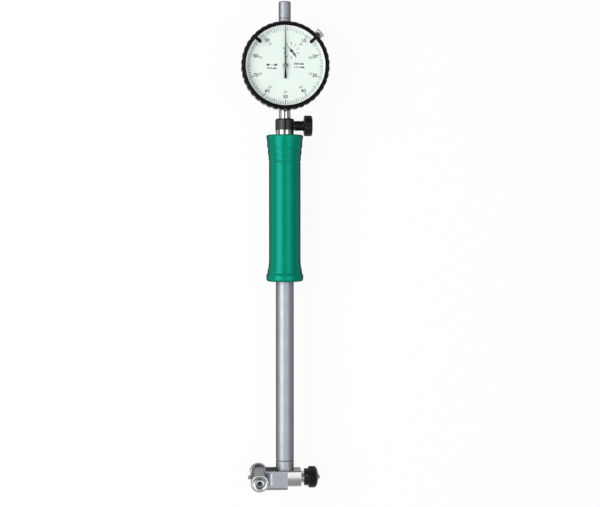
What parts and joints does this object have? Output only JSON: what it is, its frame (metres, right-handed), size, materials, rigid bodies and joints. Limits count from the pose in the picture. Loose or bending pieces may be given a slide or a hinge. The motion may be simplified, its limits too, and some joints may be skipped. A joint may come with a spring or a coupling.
{
  "type": "dial bore gauge",
  "caption": "Two-point internal gauge with spring bridge, stem, moulded grip and a dial indicator, lying on its back.",
  "frame": {"origin": "middle of the gauge's outline seen from the front, on the plane that it rests on", "axes": "+X along the measuring line from the moving contact to the anvil, +Y up the stem to the dial, +Z out of the dial face"},
  "size_m": [0.0602, 0.3364, 0.0408],
  "materials": {
    "satin_chrome": "satin chrome plate",
    "bright_chrome": "bright chrome plate",
    "dark_chrome": "dark chrome plate",
    "steel": "ground steel",
    "hard_steel": "hardened and lapped steel",
    "carbide": "ground carbide",
    "black_steel": "black oxide",
    "spring_steel": "bright spring wire",
    "hand_black": "black, matt",
    "bezel_black": "black anodised, satin",
    "grip_green": "moulded, satin",
    "knob_black": "moulded, semi-gloss",
    "brass": "machined",
    "bronze": "sintered bush",
    "dial_face": "pale printed face",
    "ring_white": "white, matt",
    "marker_black": "black, matt",
    "clear": "clear polished",
    "case_grey": "satin anodised"
  },
  "bodies": {
    "gauge": {"head_body": "bright_chrome", "chamber_plug": "steel", "pivot_pin": "hard_steel", "contact_sleeve": "hard_steel", "rod_guide_lower": "bronze", "rod_guide_upper": "bronze", "rod_spring": "spring_steel", "anvil": "hard_steel", "anvil_tip": "carbide", "bridge_stop_pin": "hard_steel", "bridge_springs": "spring_steel", "stem_tube": "satin_chrome", "handle_grip": "grip_green", "clamp_collar": "dark_chrome", "indicator_case": "case_grey", "back_cover": "case_grey", "back_cover_screws": "steel", "lower_stem": "steel", "spindle_cap": "bright_chrome", "return_spring": "spring_steel", "movement_plate_back": "brass", "movement_plate_front": "brass", "plate_pillars": "brass", "movement_screws": "steel", "hairspring": "spring_steel", "centre_dial": "dial_face"},
    "contact": {"contact_plunger": "hard_steel", "contact_tip": "hard_steel"},
    "crank": {"bell_crank": "hard_steel"},
    "rod": {"push_rod": "steel"},
    "spindle": {"spindle": "steel", "spindle_contact": "hard_steel", "spindle_guide_pin": "hard_steel"},
    "rack_arbor": {"rack_pinion": "steel", "rack_gear": "brass"},
    "hand_arbor": {"centre_pinion": "steel", "main_hand": "hand_black", "hand_hub": "bright_chrome"},
    "hair_arbor": {"hairspring_gear": "brass", "small_hand": "hand_black"},
    "bridge": {"bridge_body": "satin_chrome", "wheel_screws": "steel"},
    "wheel_upper": {"wheel_upper": "bright_chrome"},
    "wheel_lower": {"wheel_lower": "bright_chrome"},
    "washer": {"nut_washer": "steel"},
    "nut": {"anvil_nut": "black_steel"},
    "pad": {"clamp_pad": "brass"},
    "clamp_screw": {"clamp_stud": "steel", "clamp_knob": "knob_black"},
    "shoe": {"bezel_clamp_shoe": "black_steel"},
    "bezel_screw": {"bezel_clamp_screw": "bright_chrome"},
    "bezel": {"bezel": "bezel_black", "bezel_ring": "spring_steel", "crystal": "clear", "scale_ring": "dial_face", "spacer_ring": "ring_white"},
    "marker_left": {"limit_marker_left": "marker_black"},
    "marker_right": {"limit_marker_right": "marker_black"}
  },
  "joints": [
    {"name": "rod_slide", "type": "slide", "parent": "gauge", "child": "rod", "axis": [0, 1, 0], "range_m": [0, 0.0016], "stiffness_N_per_m": 500, "springref_m": -0.004, "deforming": ["rod_spring"]},
    {"name": "contact_slide", "type": "slide", "parent": "gauge", "child": "contact", "axis": [1, 0, 0], "range_m": [0, 0.00161]},
    {"name": "crank_turn", "type": "hinge", "parent": "gauge", "child": "crank", "pos_m": [-0.0026, -0.15805, 0.0204], "axis": [0, 0, 1], "range_deg": [0, 35.4]},
    {"name": "spindle_slide", "type": "slide", "parent": "gauge", "child": "spindle", "axis": [0, 1, 0], "range_m": [0, 0.00161], "stiffness_N_per_m": 40, "springref_m": -0.015, "deforming": ["return_spring"]},
    {"name": "rack_arbor_turn", "type": "hinge", "parent": "gauge", "child": "rack_arbor", "pos_m": [-0.00314, 0.11277, 0.025], "axis": [0, 0, 1], "range_deg": [0, 57.7]},
    {"name": "hand_turn", "type": "hinge", "parent": "gauge", "child": "hand_arbor", "pos_m": [0, 0.12325, 0.032], "axis": [0, 0, -1], "range_deg": [0, 576.6]},
    {"name": "hair_arbor_turn", "type": "hinge", "parent": "gauge", "child": "hair_arbor", "pos_m": [0.004, 0.13343, 0.025], "axis": [0, 0, 1], "range_deg": [0, 57.7], "deforming": ["hairspring"]},
    {"name": "bridge_slide", "type": "slide", "parent": "gauge", "child": "bridge", "axis": [1, 0, 0], "range_m": [0, 0.0084], "stiffness_N_per_m": 400, "springref_m": -0.004, "deforming": ["bridge_springs"]},
    {"name": "wheel_upper_spin", "type": "hinge", "parent": "bridge", "child": "wheel_upper", "pos_m": [-0.01805, -0.16065, 0.0388], "axis": [0, 0, 1], "continuous": true},
    {"name": "wheel_lower_spin", "type": "hinge", "parent": "bridge", "child": "wheel_lower", "pos_m": [-0.01805, -0.16065, 0.002], "axis": [0, 0, 1], "continuous": true},
    {"name": "nut_creep", "type": "slide", "parent": "gauge", "child": "washer", "axis": [1, 0, 0], "range_m": [0, 0.0015]},
    {"name": "nut_turn", "type": "hinge", "parent": "washer", "child": "nut", "pos_m": [0.017, -0.16065, 0.0204], "axis": [1, 0, 0], "range_deg": [0, 720.6]},
    {"name": "clamp_creep", "type": "slide", "parent": "gauge", "child": "pad", "axis": [1, 0, 0], "range_m": [0, 0.001]},
    {"name": "clamp_turn", "type": "hinge", "parent": "pad", "child": "clamp_screw", "pos_m": [0.012, 0.08325, 0.0204], "axis": [1, 0, 0], "range_deg": [0, 720.6]},
    {"name": "bezel_screw_creep", "type": "slide", "parent": "gauge", "child": "shoe", "axis": [0.7193, 0.6947, 0], "range_m": [0, 0.0005]},
    {"name": "bezel_screw_turn", "type": "hinge", "parent": "shoe", "child": "bezel_screw", "pos_m": [0.02374, 0.14617, 0.0214], "axis": [0.7193, 0.6947, 0], "range_deg": [0, 360.5]},
    {"name": "bezel_turn", "type": "hinge", "parent": "gauge", "child": "bezel", "pos_m": [0, 0.12325, 0.0304], "axis": [0, 0, 1], "continuous": true},
    {"name": "marker_left_turn", "type": "hinge", "parent": "bezel", "child": "marker_left", "pos_m": [0, 0.12325, 0.0356], "axis": [0, 0, 1], "range_deg": [-45, 45]},
    {"name": "marker_right_turn", "type": "hinge", "parent": "bezel", "child": "marker_right", "pos_m": [0, 0.12325, 0.0356], "axis": [0, 0, 1], "range_deg": [-45, 45]}
  ],
  "couplings": [
    {"joint": "contact_slide", "follows": "rod_slide", "ratio": 1},
    {"joint": "spindle_slide", "follows": "rod_slide", "ratio": 1},
    {"joint": "crank_turn", "follows": "rod_slide", "rad_per_m": 384.62},
    {"joint": "rack_arbor_turn", "follows": "rod_slide", "rad_per_m": 628.32},
    {"joint": "hand_turn", "follows": "rod_slide", "rad_per_m": 6283.2},
    {"joint": "hair_arbor_turn", "follows": "rod_slide", "rad_per_m": 628.32},
    {"joint": "nut_turn", "follows": "nut_creep", "rad_per_m": 8377.6},
    {"joint": "clamp_turn", "follows": "clamp_creep", "rad_per_m": 12566},
    {"joint": "bezel_screw_turn", "follows": "bezel_screw_creep", "rad_per_m": 12566}
  ]
}
